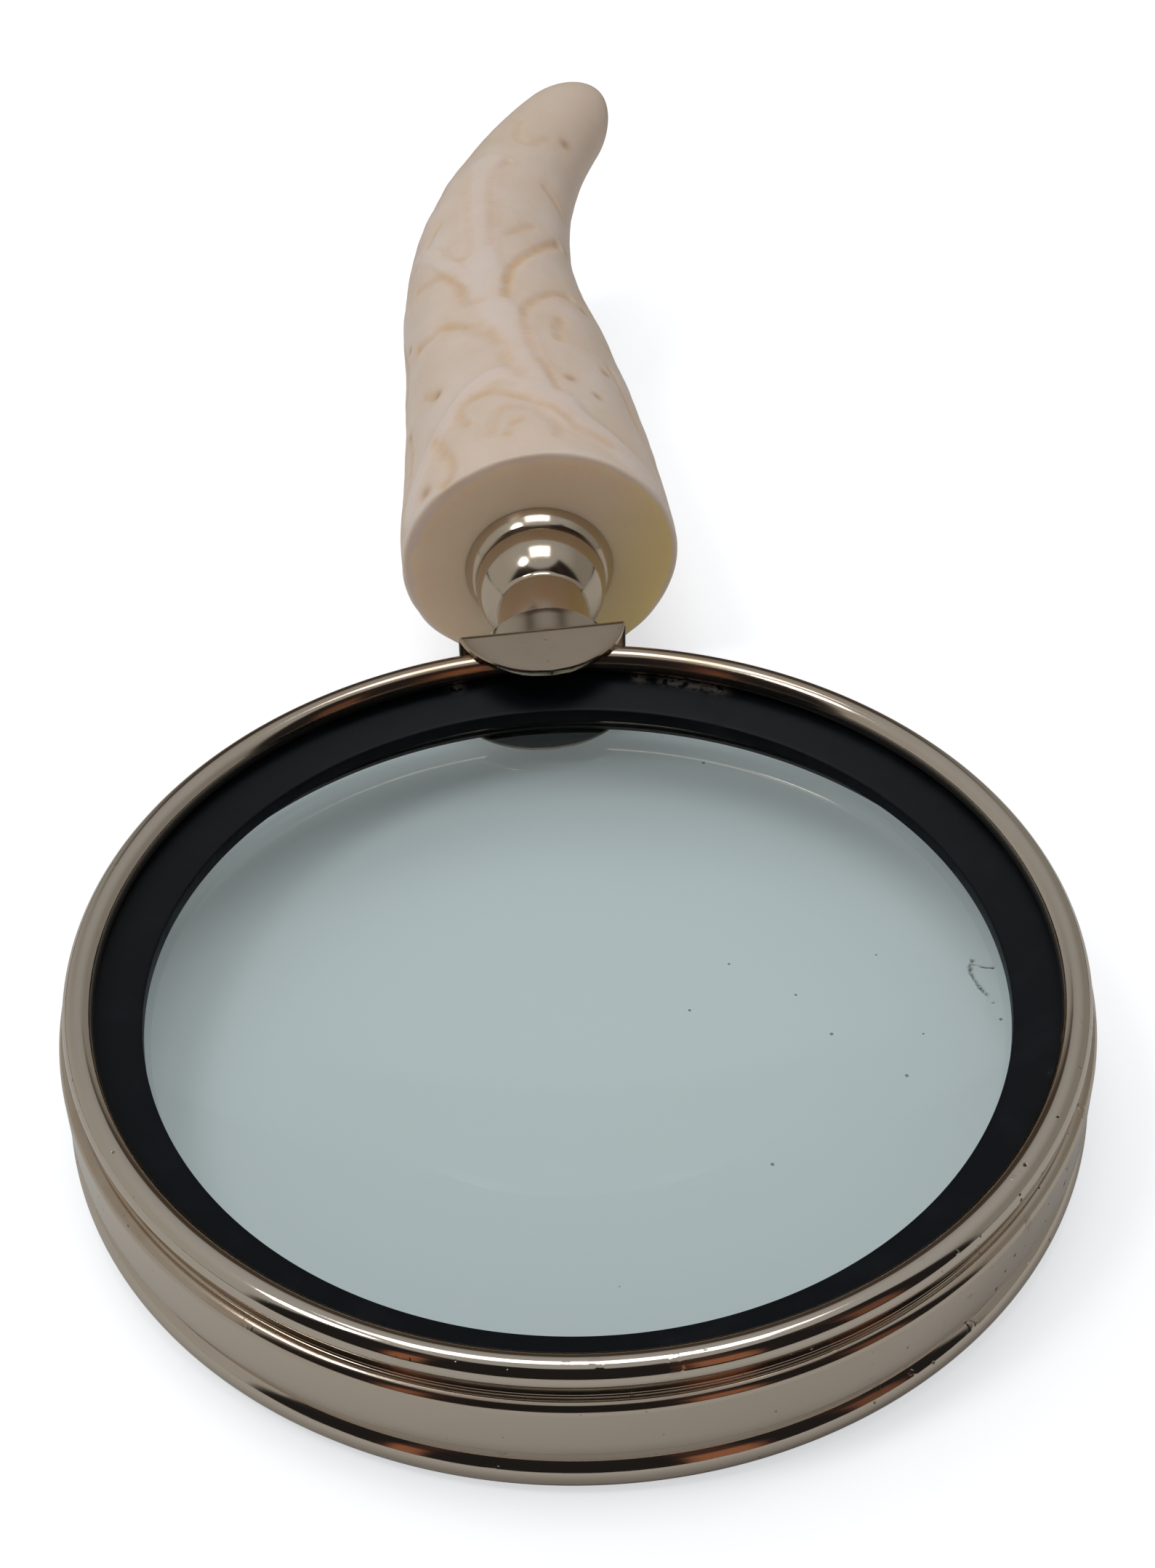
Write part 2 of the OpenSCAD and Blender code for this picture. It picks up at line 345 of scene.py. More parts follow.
def nickel(name, worn):
    """Warm bright plating with waves and hairlines. The tarnish value browns it, up to dark grey:
    partly tarnish, partly painted shade. wear adds pits and blisters. worn sets its colour and finish."""
    material, paint, shader = new_material(name, Metallic=1.0)
    where = paint.place()
    wrap = paint.attribute("wrap", "Vector")
    hairs = paint.noise(paint.vector("MULTIPLY", wrap, (3, 3, 6)), 4.0, 4.0, 0.7)
    clouds = paint.noise(where, 90.0, 3.0, 0.6)
    waves = paint.noise(where, 160.0, 1.0)
    tarnish_and_shade = paint.attribute("tarnish_and_shade")
    wear = paint.attribute("wear")

    brown = paint.times(tarnish_and_shade, paint.ramp(clouds, 0.3, 0.65, 0.45, 1.0), True)
    pit_size = paint.noise(where, 700.0, 2.0)
    spots = paint.cells(where, 900.0)
    near_spot = paint.ramp(paint.math("SUBTRACT", spots, paint.times(wear, 0.2)), 0.0, 0.07, 1.0, 0.0)
    kept = paint.ramp(pit_size, 0.6, 0.64)
    pits = paint.times(paint.times(near_spot, kept), wear, True)
    blister = paint.times(paint.ramp(paint.noise(where, 300.0, 3.0), 0.66, 0.72), wear, True)

    bright = (0.6, 0.535, 0.465) if worn else (0.56, 0.48, 0.39)
    colour = paint.mix(brown, bright, (0.36, 0.245, 0.15))
    # Dark grey near the top of the tarnish value is painted shade: the rim's lip and lower far bead,
    # the sleeve, the clip's inside.
    grime_and_shade = paint.ramp(tarnish_and_shade, 0.85, 1.0)
    colour = paint.mix(grime_and_shade, colour, (0.1, 0.1, 0.09))
    colour = paint.mix(paint.times(blister, 0.35), colour, (0.42, 0.33, 0.26))
    colour = paint.mix(pits, colour, (0.055, 0.035, 0.025))

    rough = paint.ramp(hairs, 0.2, 0.85, 0.1 - 0.05 * worn, 0.17 - 0.08 * worn)
    for mask, share in ((brown, 0.2), (grime_and_shade, 0.25), (blister, 0.15)):
        rough = paint.math("ADD", rough, paint.times(mask, share))
    rough = paint.math("ADD", rough, paint.times(pits, 0.45), True)

    normal = paint.bump(waves, 0.00002 * (1 + worn))
    normal = paint.bump(hairs, 0.0000012, normal)
    normal = paint.bump(blister, 0.00004, normal)
    normal = paint.bump(paint.math("SUBTRACT", 1.0, pits), 0.00006, normal)
    dress(paint, shader, colour, rough, normal)
    return material


def black_paint():
    """Matt black lacquer with a fine grain, pale scuffs and flecks where it has chipped."""
    material, paint, shader = new_material("black_lacquer", Specular_IOR_Level=0.16)
    where = paint.place()
    wrap = paint.attribute("wrap", "Vector")
    chips = paint.attribute("chips")
    grain = paint.noise(where, 2600.0, 3.0, 0.7)
    dust = paint.ramp(paint.noise(where, 150.0, 4.0, 0.65), 0.45, 0.8)
    scuffs = paint.ramp(
        paint.noise(paint.vector("MULTIPLY", wrap, (9, 9, 1.4)), 3.0, 5.0, 0.75),
        0.66,
        0.74,
    )
    flake = paint.times(chips, paint.ramp(paint.noise(where, 1300.0, 3.0), 0.4, 0.55), True)
    colour = paint.mix(dust, (0.003, 0.0048, 0.0075), (0.0065, 0.009, 0.0125))
    colour = paint.mix(paint.times(scuffs, 0.25), colour, (0.06, 0.06, 0.06))
    colour = paint.mix(flake, colour, (0.16, 0.15, 0.135))
    rough = paint.ramp(dust, 0.0, 1.0, 0.42, 0.6)
    height = paint.math("SUBTRACT", grain, paint.times(flake, 3.0))
    dress(paint, shader, colour, rough, paint.bump(height, 0.00001))
    return material


def crown_glass():
    """Clear glass with a green-blue cast, a few specks, and a frosted chip painted dark as shade."""
    material, paint, shader = new_material(
        "lens_glass", Transmission_Weight=1.0, IOR=1.52, Specular_IOR_Level=0.5
    )
    where = paint.place()
    chip = paint.attribute("chip")
    crumbs = paint.ramp(paint.cells(where, 260.0), 0.045, 0.06, 1.0, 0.0)
    chosen = paint.ramp(paint.noise(where, 33.0, 0.0), 0.66, 0.68)
    specks = paint.times(crumbs, chosen)
    shattered = paint.ramp(paint.noise(where, 1900.0, 3.0, 0.7), 0.35, 0.6)
    frost_and_shade = paint.times(chip, shattered, True)
    colour = paint.mix(specks, (0.79, 0.945, 1.0), (0.12, 0.12, 0.11))
    # The chip's dark colour is painted shade for the light its fractures turn away; its roughness and
    # bump are the frost.
    colour = paint.mix(frost_and_shade, colour, (0.1, 0.1, 0.085))
    dress(paint, shader, colour, paint.times(frost_and_shade, 0.5), paint.bump(frost_and_shade, 0.0001))
    return material


def carved_resin():
    """Ivory-coloured resin: lilac cream where raised, ochre stain in the cuts, a browner tip,
    and a bare cut face that is yellow at one side."""
    material, paint, shader = new_material(
        "handle_resin",
        Subsurface_Weight=0.45,
        Subsurface_Radius=(0.0036, 0.0024, 0.0015),
        Subsurface_Scale=1.0,
        Coat_Weight=0.06,
        Coat_Roughness=0.35,
    )
    where = paint.place()
    stain = paint.attribute("stain")
    ground = paint.attribute("ground")
    inset = paint.attribute("inset")
    dots = paint.attribute("dots")
    clouds = paint.noise(where, 70.0, 4.0, 0.6)
    fine = paint.noise(where, 600.0, 4.0, 0.6)
    ragged = paint.times(paint.math("SUBTRACT", clouds, 0.5), 4.0)
    face = paint.ramp(paint.math("ADD", inset, ragged), 0.3, 1.1)
    pores = paint.ramp(paint.cells(where, 1500.0), 0.1, 0.2, 1.0, 0.0)
    few = paint.ramp(paint.noise(where, 240.0, 2.0), 0.55, 0.65)

    cream = paint.mix(clouds, (0.84, 0.71, 0.645), (0.89, 0.785, 0.725))
    dish = paint.mix(clouds, (0.785, 0.63, 0.5), (0.825, 0.7, 0.58))
    colour = paint.mix(ground, cream, dish)
    tip = paint.times(paint.attribute("tip"), 0.6)
    colour = paint.mix(tip, colour, (0.74, 0.6, 0.455))
    uneven = paint.ramp(fine, 0.3, 0.7, 0.6, 1.0)
    colour = paint.mix(paint.times(stain, uneven, True), colour, (0.74, 0.49, 0.27))
    colour = paint.mix(dots, colour, (0.55, 0.33, 0.17))
    cut = paint.mix(paint.ramp(clouds, 0.35, 0.65), (0.92, 0.735, 0.53), (0.95, 0.78, 0.58))
    yellow = paint.attribute("yellow")
    cut = paint.mix(yellow, cut, (0.92, 0.74, 0.32))
    colour = paint.mix(face, colour, cut)

    rough = paint.ramp(fine, 0.25, 0.75, 0.38, 0.52)
    rough = paint.math("ADD", rough, paint.times(stain, 0.15), True)
    normal = paint.bump(fine, 0.00004)
    pitted = paint.math("SUBTRACT", 1.0, paint.times(pores, few))
    normal = paint.bump(pitted, 0.00004, normal)
    dress(paint, shader, colour, rough, normal)
    return material


def plain_metal(name, colour, rough):
    """Machined metal for the pieces that stay inside."""
    material, paint, shader = new_material(name, Metallic=1.0)
    where = paint.place()
    marks = paint.noise(paint.vector("MULTIPLY", where, (1, 9, 1)), 500.0, 3.0)
    dull = tuple(0.6 * c for c in colour)
    paint.feed(shader.inputs["Base Color"], paint.mix(marks, dull, colour))
    paint.feed(shader.inputs["Roughness"], paint.ramp(marks, 0.3, 0.7, rough, rough + 0.2))
    paint.feed(shader.inputs["Normal"], paint.bump(marks, 0.00002))
    return material


rim_nickel = nickel("rim_nickel", 1.0)
fitting_nickel = nickel("fitting_nickel", 0.0)
lacquer = black_paint()
glass = crown_glass()
resin = carved_resin()
steel = plain_metal("screw_steel", (0.5, 0.5, 0.5), 0.25)
brass = plain_metal("insert_brass", (0.72, 0.52, 0.24), 0.25)

# ---------------------------------------------------------------- rim, rings and glass

RIM_STEPS = 600


def rim_outline():
    """Bead, hollow, cove, shoulder, band, groove, foot bead and lip."""
    bead_c = (RIM_BORE_R + 0.3, -TOP_BEAD_R)
    bead_start = 360 - math.degrees(math.acos((RIM_BORE_R - bead_c[0]) / TOP_BEAD_R))
    bead_end = -math.degrees(math.acos((HOLLOW_R - bead_c[0]) / TOP_BEAD_R))
    cove_c = (HOLLOW_R + COVE_R, SHOULDER_Z + COVE_R)
    shoulder_c = (BAND_R - SHOULDER_R, SHOULDER_Z - SHOULDER_R)
    groove_r = BAND_R - GROOVE_DEPTH
    foot_c = (BAND_R + 0.2 - FOOT_BEAD_R, FOOT_BEAD_R - RIM_H)
    foot_start = math.degrees(math.acos((groove_r - foot_c[0]) / FOOT_BEAD_R))
    edge_r = 0.2
    lip_r = RIM_BORE_R - LIP_W
    return [
        *arc(bead_c, TOP_BEAD_R, bead_start, bead_end, 44),
        *arc(cove_c, COVE_R, 180, 270, 6),
        *arc(shoulder_c, SHOULDER_R, SHOULDER_START, 0, 16),
        *line((BAND_R, SHOULDER_Z - SHOULDER_R - 0.4), (BAND_R, BAND_FOOT_Z + 0.6), 6),
        *arc((BAND_R - edge_r, BAND_FOOT_Z + edge_r), edge_r, 0, -70, 5),
        (groove_r, BAND_FOOT_Z - GROOVE_SLOPE),
        *arc(foot_c, FOOT_BEAD_R, foot_start, -90, 26),
        *arc((lip_r + edge_r, edge_r - RIM_H), edge_r, -90, -180, 4),
        *arc((lip_r + edge_r, LIP_T - edge_r - RIM_H), edge_r, 180, 90, 4),
        (RIM_BORE_R, LIP_T - RIM_H),
    ]


# Height of the browned line over the foot bead
FOOT_LINE_Z = -12.2


def near_angle(angle, middle, spread):
    """1 at the angle middle, falling off over spread degrees."""
    off = (np.degrees(angle) - middle + 180) % 360 - 180
    return np.exp(-((off / spread) ** 2))


def make_rim():
    """The plated rim: most worn in four patches, browned in its hollows and over its foot bead, and
    darkened on its lip as painted shade and on the bead near the clip as a painted dark reflection."""
    points, faces, wrap = turned(rim_outline(), RIM_STEPS, on_lens_axis)
    angle = np.arctan2(points[:, 1], points[:, 0])
    height = points[:, 2]
    radius = np.hypot(points[:, 0], points[:, 1])
    outside = smooth(RIM_BORE_R, RIM_BORE_R + 0.6, radius)
    wear = (
        0.9 * near_angle(angle, -32, 22)
        + 0.6 * near_angle(angle, -160, 16)
        + 0.35 * near_angle(angle, -75, 30)
        + 0.5 * near_angle(angle, 120, 30)
        + 0.12
    )
    cove = np.exp(-(((height - SHOULDER_Z - 0.3) / 0.9) ** 2))
    groove = np.exp(-(((height - BAND_FOOT_Z) / 0.45) ** 2))
    foot = np.exp(-(((height - FOOT_LINE_Z) / 0.8) ** 2))
    left = near_angle(angle, -135, 32)
    lip = smooth(1.6 - RIM_H, 1.2 - RIM_H, height) * smooth(51.6, 51.2, radius)
    bead = smooth(-3.4, -3.0, height)
    tarnish_and_shade = 0.45 * cove + 0.25 * groove + 0.5 * foot * left + 0.35 * cove * left
    # Painted shade on the lip under the glass, and a painted dark reflection on the far bead near
    # angle 88.
    tarnish_and_shade = tarnish_and_shade * outside + lip + 0.8 * bead * near_angle(angle, 88, 42)
    values = {"wrap": wrap, "wear": np.clip(wear, 0, 1) * outside, "tarnish_and_shade": np.clip(tarnish_and_shade, 0, 1)}
    return make_piece("rim", points, faces, rim_nickel, "lens_frame", values)


def glass_top(r):
    """Height of the glass's front face over its middle plane, at radius r."""
    crown = GLASS_CURVE_R - math.sqrt(GLASS_CURVE_R**2 - GLASS_R**2)
    return GLASS_EDGE_T / 2 + crown - GLASS_CURVE_R + np.sqrt(GLASS_CURVE_R**2 - r**2)


# Most of FLECKS and half of CHIP_CRACKS follow numbers that a scratch script cast from the
# photo, rounded by hand. That breaks the rule against tables made by another program.

# Paint flecks lost from the ring's outer edge: angle in degrees, length in mm
FLECKS = [(78, 1.6), (73, 4.5), (70, 3.0), (67, 2.2), (103, 1.6), (-150, 1.2), (-20, 1.4)]


def make_black_ring():
    """The black ring over the glass, with FLECKS at its outer edge."""
    points, faces, wrap = turned(retaining_outline(), RIM_STEPS, on_lens_axis)
    angle = np.arctan2(points[:, 1], points[:, 0])
    radius = np.hypot(points[:, 0], points[:, 1])
    chips = np.zeros(len(points))
    for degrees, length in FLECKS:
        spread = math.degrees(length / 2 / RIM_BORE_R)
        chips += near_angle(angle, degrees, spread) * smooth(49.4, 49.9, radius)
    values = {"wrap": wrap, "chips": np.clip(chips, 0, 1)}
    return make_piece("black_cone", points, faces, lacquer, "retaining_ring", values)


def make_seat():
    """The plated sleeve under the glass, darkened all over as painted shade, most at its foot and
    where it turns in.
    """
    points, faces, wrap = turned(seat_outline(), RIM_STEPS, on_lens_axis)
    radius = np.hypot(points[:, 0], points[:, 1])
    # Painted shade under the glass: the sleeve is darker all over, most at its foot and turned-in
    # edge.
    foot = smooth(-14.5, -15.2, points[:, 2])
    turned_in = smooth(49.9, 49.5, radius)
    values = {
        "wrap": wrap,
        "wear": np.full(len(points), 0.1),
        "tarnish_and_shade": np.clip(0.4 + foot + turned_in, 0, 1),
    }
    return make_piece("seat_sleeve", points, faces, rim_nickel, "seat_ring", values)


def retaining_outline():
    """Cone over the glass, with a small round at each edge."""
    outer = RIM_BORE_R - SLIP
    slope = math.atan2(CONE_TOP_Z - CONE_FOOT_Z, outer - CLEAR_R)
    edge_r = 0.3
    down = edge_r / math.cos(slope)
    in_r = edge_r * math.tan(slope)
    rise = 90 + math.degrees(slope)
    foot_c = (CLEAR_R + edge_r, CONE_FOOT_Z + in_r - down)
    top_c = (outer - edge_r, CONE_TOP_Z - in_r - down)
    glass_at_edge = GLASS_Z + float(glass_top(GLASS_R)) + SLIP
    glass_at_wall = GLASS_Z + float(glass_top(CLEAR_R)) + SLIP
    foot = arc(foot_c, edge_r, 180, rise, 5)
    top = arc(top_c, edge_r, rise, 0, 6)
    return [
        (CLEAR_R, glass_at_wall),
        *foot[:-1],
        *line(foot[-1], top[0], 10),
        *top,
        (outer, glass_at_edge),
        (GLASS_R, glass_at_edge),
    ]


def seat_outline():
    """Sleeve under the glass, down to the rim's lip, turned in at its top."""
    outer = RIM_BORE_R - SLIP
    inner = outer - SLEEVE_T
    glass_at_edge = GLASS_Z - float(glass_top(GLASS_R)) - SLIP
    seat_z = GLASS_Z - float(glass_top(SEAT_R)) - SLIP
    edge_r = 0.25
    return [
        (SEAT_R + 0.1, seat_z + 0.03),
        (GLASS_R, glass_at_edge),
        (outer, glass_at_edge),
        (outer, LIP_T - RIM_H),
        (inner, LIP_T - RIM_H),
        *line((inner, LIP_T - RIM_H + 0.2), (inner, SLEEVE_TOP_Z), 4),
        (inner, SLEEVE_TOP_Z),
        *arc((SEAT_R + edge_r, seat_z - SEAT_T + edge_r), edge_r, 230, 180, 4),
        (SEAT_R, seat_z - 0.1),
    ]


# The chip in the glass's front face: two ragged cracks from one corner and a nick beyond
# them, each as (x, y) points and a width in mm
CHIP_CRACKS = [
    ([(42.0, 1.1), (41.6, 0.2), (41.5, -0.9), (41.7, -1.9), (42.1, -3.0), (42.6, -3.9)], 0.28),
    ([(41.8, 0.5), (42.8, 0.2), (43.6, 0.1), (44.2, 0.2)], 0.16),
    ([(42.95, -5.1), (43.15, -5.0)], 0.12),
]
CHIP_X = 42.8
CHIP_Y = -1.8
CHIP_MESH_REACH = 4.2
CHIP_REACH = 4
CHIP_DEPTH = 0.12


def make_glass():
    """Biconvex glass. Its mesh is finer round the chip, which is pressed into the front face."""
    edge_r = 0.2
    rim_z = GLASS_EDGE_T / 2
    radii = np.linspace(0, GLASS_R - edge_r, 48)
    front = [(r, GLASS_Z + float(glass_top(r))) for r in radii]
    back = [(r, 2 * GLASS_Z - z) for r, z in reversed(front)]
    outline = [
        *front,
        *arc((GLASS_R - edge_r, GLASS_Z + rim_z - edge_r), edge_r, 75, 0, 3),
        *arc((GLASS_R - edge_r, GLASS_Z - rim_z + edge_r), edge_r, 0, -75, 3),
        *back,
    ]
    points, faces, wrap = turned(outline, RIM_STEPS, on_lens_axis)
    piece = make_piece("glass", points, faces, glass, "lens", {"wrap": wrap}, 60)
    piece.visible_shadow = False
    piece.visible_diffuse = False
    press_chip(piece.data)
    return piece


def press_chip(mesh):
    """Cuts the faces near the chip smaller, and presses the cracks into them."""
    work = bmesh.new()
    work.from_mesh(mesh)
    chip_at = Vector(place([(CHIP_X, CHIP_Y, GLASS_Z + float(glass_top(CHIP_X)))])[0])
    reach = CHIP_MESH_REACH * MM
    up = Vector(lens_axis)
    near = [
        f
        for f in work.faces
        if (f.calc_center_median() - chip_at).length < reach and f.normal.dot(up) > 0.5
    ]
    edges = list({e for f in near for e in f.edges})
    bmesh.ops.subdivide_edges(work, edges=edges, cuts=5, use_grid_fill=True)
    work.to_mesh(mesh)
    work.free()
    count = len(mesh.vertices)
    world = np.zeros(count * 3)
    mesh.vertices.foreach_get("co", world)
    world = world.reshape(-1, 3)
    local = (world - RIM_TOP) / MM @ TURN
    radius = np.minimum(np.hypot(local[:, 0], local[:, 1]), GLASS_R)
    off_face = np.abs(local[:, 2] - GLASS_Z - glass_top(radius))
    from_chip = np.hypot(local[:, 0] - CHIP_X, local[:, 1] - CHIP_Y)
    close = (from_chip < CHIP_REACH) & (off_face < 0.05)
    chip = np.zeros(count)
    chosen = np.flatnonzero(close)
    ragged = wobble(local[chosen], 0.35, 3)
    for crack, width in CHIP_CRACKS:
        way = curve_through(crack, 0.05)
        off = np.linalg.norm(local[chosen, None, :2] - way[None], axis=2).min(1)
        depth = 1 - smooth(0.3 * width, 1.15 * width, off + 0.16 * ragged)
        chip[chosen] = np.maximum(chip[chosen], depth)
    local[:, 2] -= CHIP_DEPTH * chip
    mesh.vertices.foreach_set("co", place(local).ravel())
    mesh.attributes.new("chip", "FLOAT", "POINT").data.foreach_set("value", chip.astype(np.float32))
    mesh.update()


make_rim()
make_black_ring()
make_seat()
lens_piece = make_glass()

# ---------------------------------------------------------------- clip and ferrule


def clip_path():
    """The sheet's path down the Y-Z plane, as (y, z, normal y, normal z) of its outer side."""
    bend_r = 0.9
    top, bottom = CLIP_T, -RIM_H - CLIP_T
    tip = CLIP_FACE_Y - CLIP_DEPTH
    corner = CLIP_FACE_Y - bend_r
    path = [(y, top, 0, 1) for y in np.linspace(tip, corner, 26)]
    for a in np.radians(np.linspace(90, 0, 7)[1:]):
        c, s = math.cos(a), math.sin(a)
        path.append((corner + bend_r * c, top - bend_r + bend_r * s, c, s))
    path += [(CLIP_FACE_Y, z, 1, 0) for z in np.linspace(top - bend_r, bottom + bend_r, 22)[1:]]
    for a in np.radians(np.linspace(0, -90, 7)[1:]):
        c, s = math.cos(a), math.sin(a)
        path.append((corner + bend_r * c, bottom + bend_r + bend_r * s, c, s))
    path += [(y, bottom, 0, -1) for y in np.linspace(corner, tip, 26)[1:]]
    return path


def make_clip():
    """A sheet folded over the rim: half-moons above and below, and a web between them."""
    centre_y = CLIP_FACE_Y - CLIP_DEPTH + CLIP_R
    edge = 0.16
    across = 33
    points, wear, tarnish_and_shade, wrap = [], [], [], []
    path = clip_path()
    layers = ((0.0, edge), (edge, 0.0), (CLIP_T - edge, 0.0), (CLIP_T, edge))
    for y, z, ny, nz in path:
        half = math.sqrt(max(CLIP_R**2 - (y - centre_y) ** 2, 0.02))
        for depth, inset in layers:
            for u in np.linspace(-1, 1, across):
                x = u * max(half - inset, 0.05)
                points.append((x, y - depth * ny, z - depth * nz))
                wear.append(0.25)
                inside = float(depth > CLIP_T / 2)
                below = float(z < -RIM_H / 2)
                # Painted shade: darker at the half-moons' side ends, on the web and bends facing the
                # handle, and on the inner side, most on the lower half-moon, which lies in shade under
                # the glass.
                tarnish_and_shade.append(0.5 * abs(u) ** 12 + 0.3 * ny + inside * (0.3 + 0.7 * below))
                wrap.append((0.02 * x, 0.02 * y, 0.3 * z))
    rows, layer_count = len(path), len(layers)

    def index(row, layer, k):
        return (row * layer_count + layer) * across + k

    faces = []
    next_row, next_layer, next_k = (1, 0, 0), (0, 1, 0), (0, 0, 1)

    def quad(at, one, two):
        """A face at a grid corner (row, layer, k), with the steps one and two as its sides."""
        both = tuple(i + j for i, j in zip(one, two))
        ring = ((0, 0, 0), one, both, two)
        faces.append(tuple(index(*(i + j for i, j in zip(at, step))) for step in ring))

    for row in range(rows - 1):
        for k in range(across - 1):
            for layer in (0, layer_count - 1):
                quad((row, layer, k), next_row, next_k)
        for layer in range(layer_count - 1):
            for k in (0, across - 1):
                quad((row, layer, k), next_row, next_layer)
    for row in (0, rows - 1):
        for layer in range(layer_count - 1):
            for k in range(across - 1):
                quad((row, layer, k), next_k, next_layer)
    turn = math.radians(CLIP_TURN)
    points = np.array(points)
    x, y = points[:, 0] + CLIP_SLIDE, points[:, 1]
    c, s = math.cos(turn), math.sin(turn)
    turned_points = np.stack([x * c - y * s, x * s + y * c, points[:, 2]], -1)
    values = {"wrap": wrap, "wear": wear, "tarnish_and_shade": np.clip(tarnish_and_shade, 0, 1)}
    return make_piece(
        "clip", turned_points, faces, fitting_nickel, "saddle", values, 30
    )


def make_turned_fitting(name, node, outline, grime_and_shade):
    """A turned fitting on the ferrule's axis. Its last argument gives the browning and darkening at
    each distance.
    """
    points, faces, wrap = turned(outline, 256, on_ferrule_axis)
    values = {
        "wrap": wrap,
        "wear": np.full(len(points), 0.1),
        "tarnish_and_shade": np.clip(grime_and_shade(points[:, 1]), 0, 1),
    }
    return make_piece(name, points, faces, fitting_nickel, node, values, 30)


def make_ferrule_parts():
    """The collar, the neck with its dome, and the bulged rim against the handle."""
    flange_y = ROOT_Y - FLANGE_T
    edge = 0.25
    collar = [
        (BORE_R, CLIP_FACE_Y),
        (COLLAR_R, CLIP_FACE_Y),
        *line((COLLAR_R, CLIP_FACE_Y + 0.1), (COLLAR_R, COLLAR_END_Y - 2 * edge), 5),
        *arc((COLLAR_R - edge, COLLAR_END_Y - edge), edge, 0, 90, 6),
        *line((COLLAR_R - 0.6, COLLAR_END_Y), (BORE_R, COLLAR_END_Y), 6),
        (BORE_R, COLLAR_END_Y),
    ]
    make_turned_fitting(
        "collar_ring",
        "collar",
        collar,
        lambda y: 0.5 * (1 - smooth(0, 1.2, y - CLIP_FACE_Y)),
    )
    centre_y = flange_y - DOME_LAND
    fillet = 1.0
    join = math.acos((NECK_R + fillet) / (DOME_R + fillet))
    neck_end = centre_y - (DOME_R + fillet) * math.sin(join)
    ferrule = [
        (BORE_R, COLLAR_END_Y),
        (NECK_R + 0.35, COLLAR_END_Y),
        *line((NECK_R, COLLAR_END_Y + 0.4), (NECK_R, neck_end), 6),
        *arc((NECK_R + fillet, neck_end), fillet, 180, 180 - math.degrees(join), 8),
        *arc((0, centre_y), DOME_R, -math.degrees(join), 0, 40),
        *arc((DOME_R - 0.3, centre_y + DOME_LAND - 0.3), 0.3, 0, 90, 4),
        (BORE_R, centre_y + DOME_LAND),
    ]
    make_turned_fitting(
        "neck_and_dome",
        "ferrule",
        ferrule,
        # Darker where the neck meets the collar, and on the land next to the flange as painted shade
        # in the step.
        lambda y: 0.45 * np.exp(-(((y - COLLAR_END_Y) / 1.2) ** 2))
        + 0.7 * smooth(flange_y - 0.35, flange_y - 0.1, y),
    )
    chamfer = 0.3
    near = np.array((FLANGE_NEAR_R, flange_y + chamfer))
    far = np.array((FLANGE_R, ROOT_Y))
    half_chord = np.linalg.norm(far - near) / 2
    slope = math.degrees(math.atan2(*(far - near)[::-1]))
    half_turn = math.degrees(math.asin(half_chord / BULGE_R))
    inward = np.array((-math.sin(math.radians(slope)), math.cos(math.radians(slope))))
    centre = (near + far) / 2 + BULGE_R * math.cos(math.radians(half_turn)) * inward
    start = slope - 90 - half_turn
    flange = [
        (BORE_R, flange_y),
        (FLANGE_NEAR_R - chamfer, flange_y),
        *arc(centre, BULGE_R, start, start + 2 * half_turn - 1.5, 20),
        (FLANGE_R - 0.05, ROOT_Y),
        (BORE_R, ROOT_Y),
    ]
    make_turned_fitting(
        "ferrule_rim_bulged",
        "ferrule_rim",
        flange,
        # Darker at its back edge against the handle, and on its front face beside the dome as painted
        # shade in the step.
        lambda y: 0.6 * (1 - smooth(0, 0.35, y - flange_y)) + 0.3 * smooth(2.5, 2.7, y - flange_y),
    )


make_clip()
make_ferrule_parts()

# ---------------------------------------------------------------- handle

SWAY_R = math.degrees(SWAY_LEN / SWAY)
HOOK_R = math.degrees((HANDLE_LEN - SWAY_LEN) / (HOOK + SWAY))


def heading(s):
    """Heading of the centre line at a distance s along it, in radians to the right."""
    first = -SWAY * s / SWAY_LEN
    then = -SWAY + (HOOK + SWAY) * (s - SWAY_LEN) / (HANDLE_LEN - SWAY_LEN)
    return np.radians(np.where(s < SWAY_LEN, first, then))


def centre_line(s):
    """The middle of the handle at s: it sways left, then hooks right, and rises to its tip."""
    h, sway = heading(s), math.radians(SWAY)
    early = s < SWAY_LEN
    x = np.where(
        early,
        -SWAY_R * (1 - np.cos(h)),
        -SWAY_R * (1 - math.cos(sway)) + HOOK_R * (math.cos(sway) - np.cos(h)),
    )
    y = ROOT_Y + np.where(
        early,
        -SWAY_R * np.sin(h),
        SWAY_R * math.sin(sway) + HOOK_R * (np.sin(h) + math.sin(sway)),
    )
    return x, y, HANDLE_Z + RISE * (s / HANDLE_LEN) ** 1.5


def girth(s):
    """Share of the root's size at s: the taper, the rounded tip and the root's edge."""
    tip = np.maximum(0, (s - HANDLE_LEN + TIP_ROUND) / TIP_ROUND)
    edge = np.maximum(0, 1 - s / ROOT_EDGE)
    body = 1 - (1 - TIP_SHARE) * (s / HANDLE_LEN) ** TAPER
    return body * np.sqrt(np.maximum(0, 1 - tip**2)) - 2 * ROOT_EDGE / ROOT_W * (
        1 - np.sqrt(1 - edge**2)
    )


def handle_point(s, degrees):
    """A point of the uncut handle, at s mm along it and an angle round it."""
    s, a = np.asarray(s, float), np.radians(degrees)
    x, y, z = centre_line(s)
    h, g = heading(s), girth(s)
    out, up = g * ROOT_W / 2 * np.cos(a), g * ROOT_H / 2 * np.sin(a)
    return np.stack([x + out * np.cos(h), y - out * np.sin(h), z + up], -1)


# CUTS, DOTS and EDGE_WAVES break the same rule as FLECKS: most of their places follow numbers
# that a scratch script cast from the photo, rounded by hand.

# The carving is laid out on a handle of this length, and stretched to this one's
LAID_OUT_LEN = 126.0
STRETCH = HANDLE_LEN / LAID_OUT_LEN

